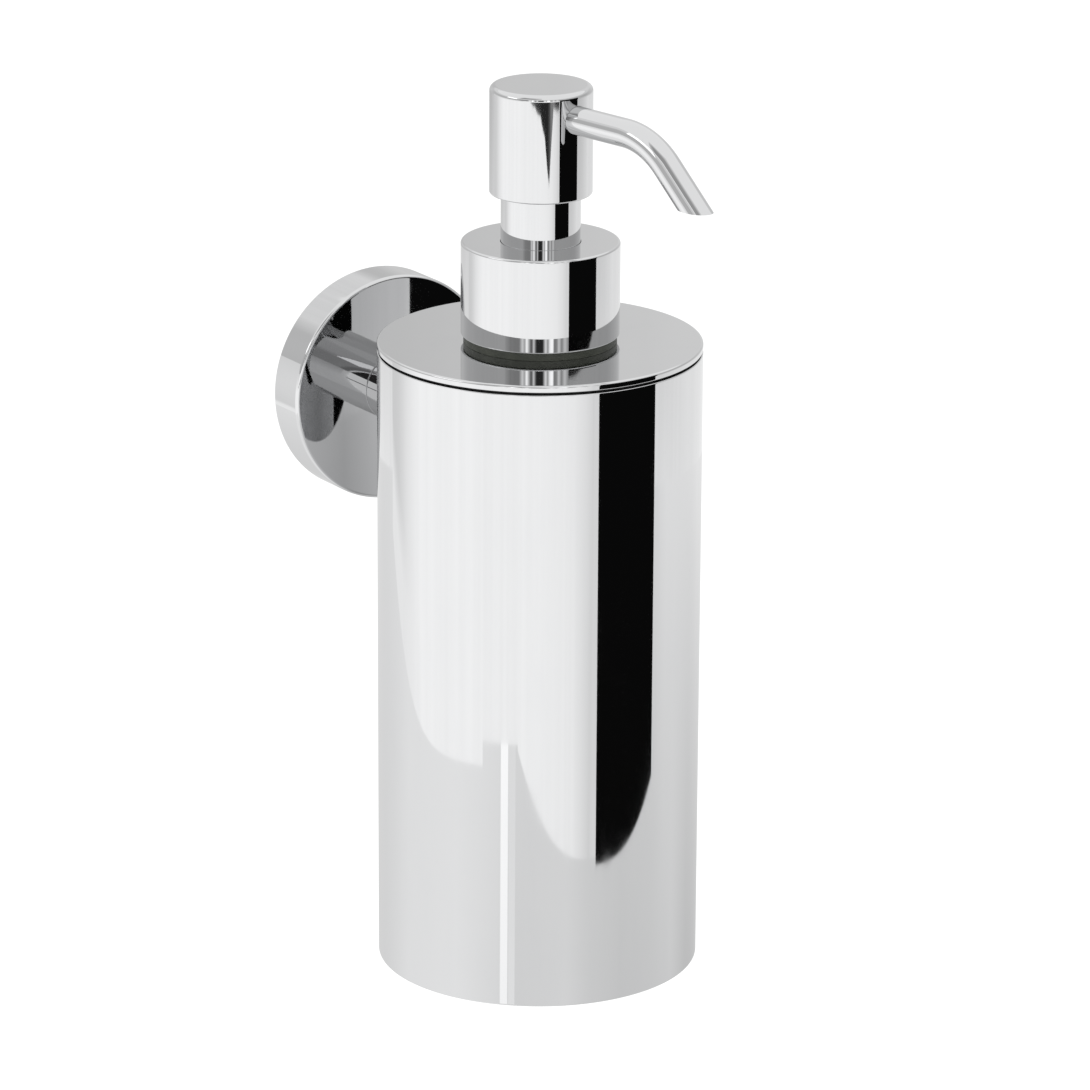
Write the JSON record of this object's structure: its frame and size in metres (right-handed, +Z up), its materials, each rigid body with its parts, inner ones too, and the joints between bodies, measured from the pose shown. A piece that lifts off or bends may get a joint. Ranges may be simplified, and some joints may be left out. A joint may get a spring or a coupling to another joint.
{
  "type": "wall mounted soap dispenser",
  "caption": "Wall mounted soap dispenser: polished round container on a short arm and round rosette, with a push-down lotion pump and a bent swivelling spout.",
  "frame": {"origin": "centre of the wall bracket's back face, on the wall and on the arm's axis", "axes": "+Z up, +Y into the wall, the dispenser stands out towards -Y, +X to the left of a person facing it"},
  "size_m": [0.065, 0.1095, 0.1819],
  "materials": {
    "chrome": "polished chrome plate on brass",
    "steel": "plain stainless steel",
    "spring_steel": "drawn stainless spring wire",
    "pressed_steel": "satin pressed stainless sheet",
    "zinc": "bare die cast zinc",
    "bottle_plastic": "natural milky polyethylene",
    "tube_plastic": "natural extruded polyethylene",
    "white_plastic": "moulded white polypropylene",
    "black_rubber": "matt black nitrile rubber",
    "olive_rubber": "satin dark olive rubber"
  },
  "bodies": {
    "holder": {"wall_bracket": "zinc", "rosette": "chrome", "rosette_set_screw": "steel", "arm": "chrome", "arm_screw_rear": "steel", "arm_screw_front": "steel", "saddle_washer": "steel", "container_shell": "chrome", "container_base": "pressed_steel"},
    "bottle_unit": {"lid": "chrome", "lid_gasket": "black_rubber", "bottle": "bottle_plastic", "neck_seal": "olive_rubber"},
    "pump": {"guide_sleeve": "chrome", "pump_gasket": "white_plastic", "pump_housing": "white_plastic", "ball_cage": "white_plastic", "dip_tube": "tube_plastic", "return_spring": "spring_steel"},
    "collar_unit": {"collar": "chrome", "closure_insert": "white_plastic"},
    "plunger": {"piston": "white_plastic", "piston_ring": "black_rubber"},
    "head_unit": {"stem": "white_plastic", "head": "chrome", "head_core": "white_plastic", "spout": "chrome"},
    "check_ball": {"inlet_ball": "steel"}
  },
  "joints": [
    {"name": "lid_lift", "type": "slide", "parent": "holder", "child": "bottle_unit", "axis": [0, 0, 1], "range_m": [0, 0.13]},
    {"name": "pump_lift", "type": "slide", "parent": "bottle_unit", "child": "pump", "axis": [0, 0, 1], "range_m": [0, 0.135]},
    {"name": "collar_turn", "type": "hinge", "parent": "pump", "child": "collar_unit", "pos_m": [0, -0.0631, 0.0343], "axis": [0, 0, 1], "range_deg": [0, 450]},
    {"name": "head_press", "type": "slide", "parent": "pump", "child": "plunger", "axis": [0, 0, -1], "range_m": [0, 0.009], "stiffness_N_per_m": 600, "springref_m": -0.01, "deforming": ["return_spring"]},
    {"name": "head_swivel", "type": "hinge", "parent": "plunger", "child": "head_unit", "pos_m": [0, -0.0631, 0.0701], "axis": [0, 0, 1], "continuous": true},
    {"name": "ball_lift", "type": "slide", "parent": "pump", "child": "check_ball", "axis": [0, 0, 1], "range_m": [0, 0.0012]}
  ]
}
